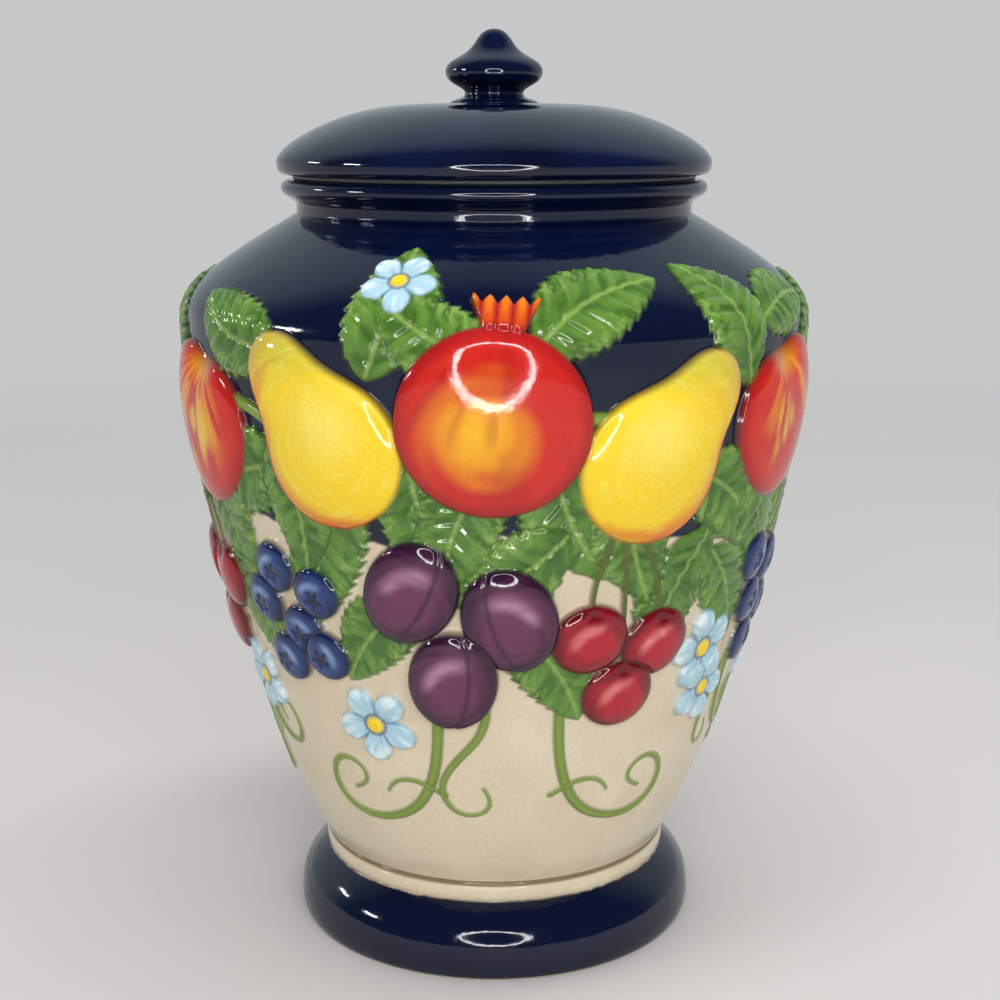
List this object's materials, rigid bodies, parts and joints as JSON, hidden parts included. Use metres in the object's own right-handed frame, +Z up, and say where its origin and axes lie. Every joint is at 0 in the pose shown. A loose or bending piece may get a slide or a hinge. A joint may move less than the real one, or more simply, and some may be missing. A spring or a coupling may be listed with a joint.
{
  "type": "biscuit jar",
  "caption": "Footed ceramic biscuit jar with a wide shoulder, short neck, rolled rim, a fruit garland in low relief, and a domed lift-off lid with a turned finial knob and a sealing ring.",
  "frame": {"origin": "centre of the foot on the surface the jar stands on", "axes": "+Z up along the jar's axis of revolution, -Y towards the front of the picture, +X to its right"},
  "size_m": [0.1812, 0.1906, 0.2672],
  "materials": {
    "jar_glaze": "gloss glaze over hand painting",
    "lid_glaze": "gloss",
    "seal_silicone": "satin translucent"
  },
  "bodies": {
    "jar": {"jar_body": "jar_glaze"},
    "lid_assembly": {"lid": "lid_glaze", "lid_knob": "lid_glaze", "seal_ring": "seal_silicone"}
  },
  "joints": [
    {"name": "lid_lift", "type": "slide", "parent": "jar", "child": "lid_assembly", "axis": [0, 0, 1], "range_m": [0, 0.06]}
  ]
}
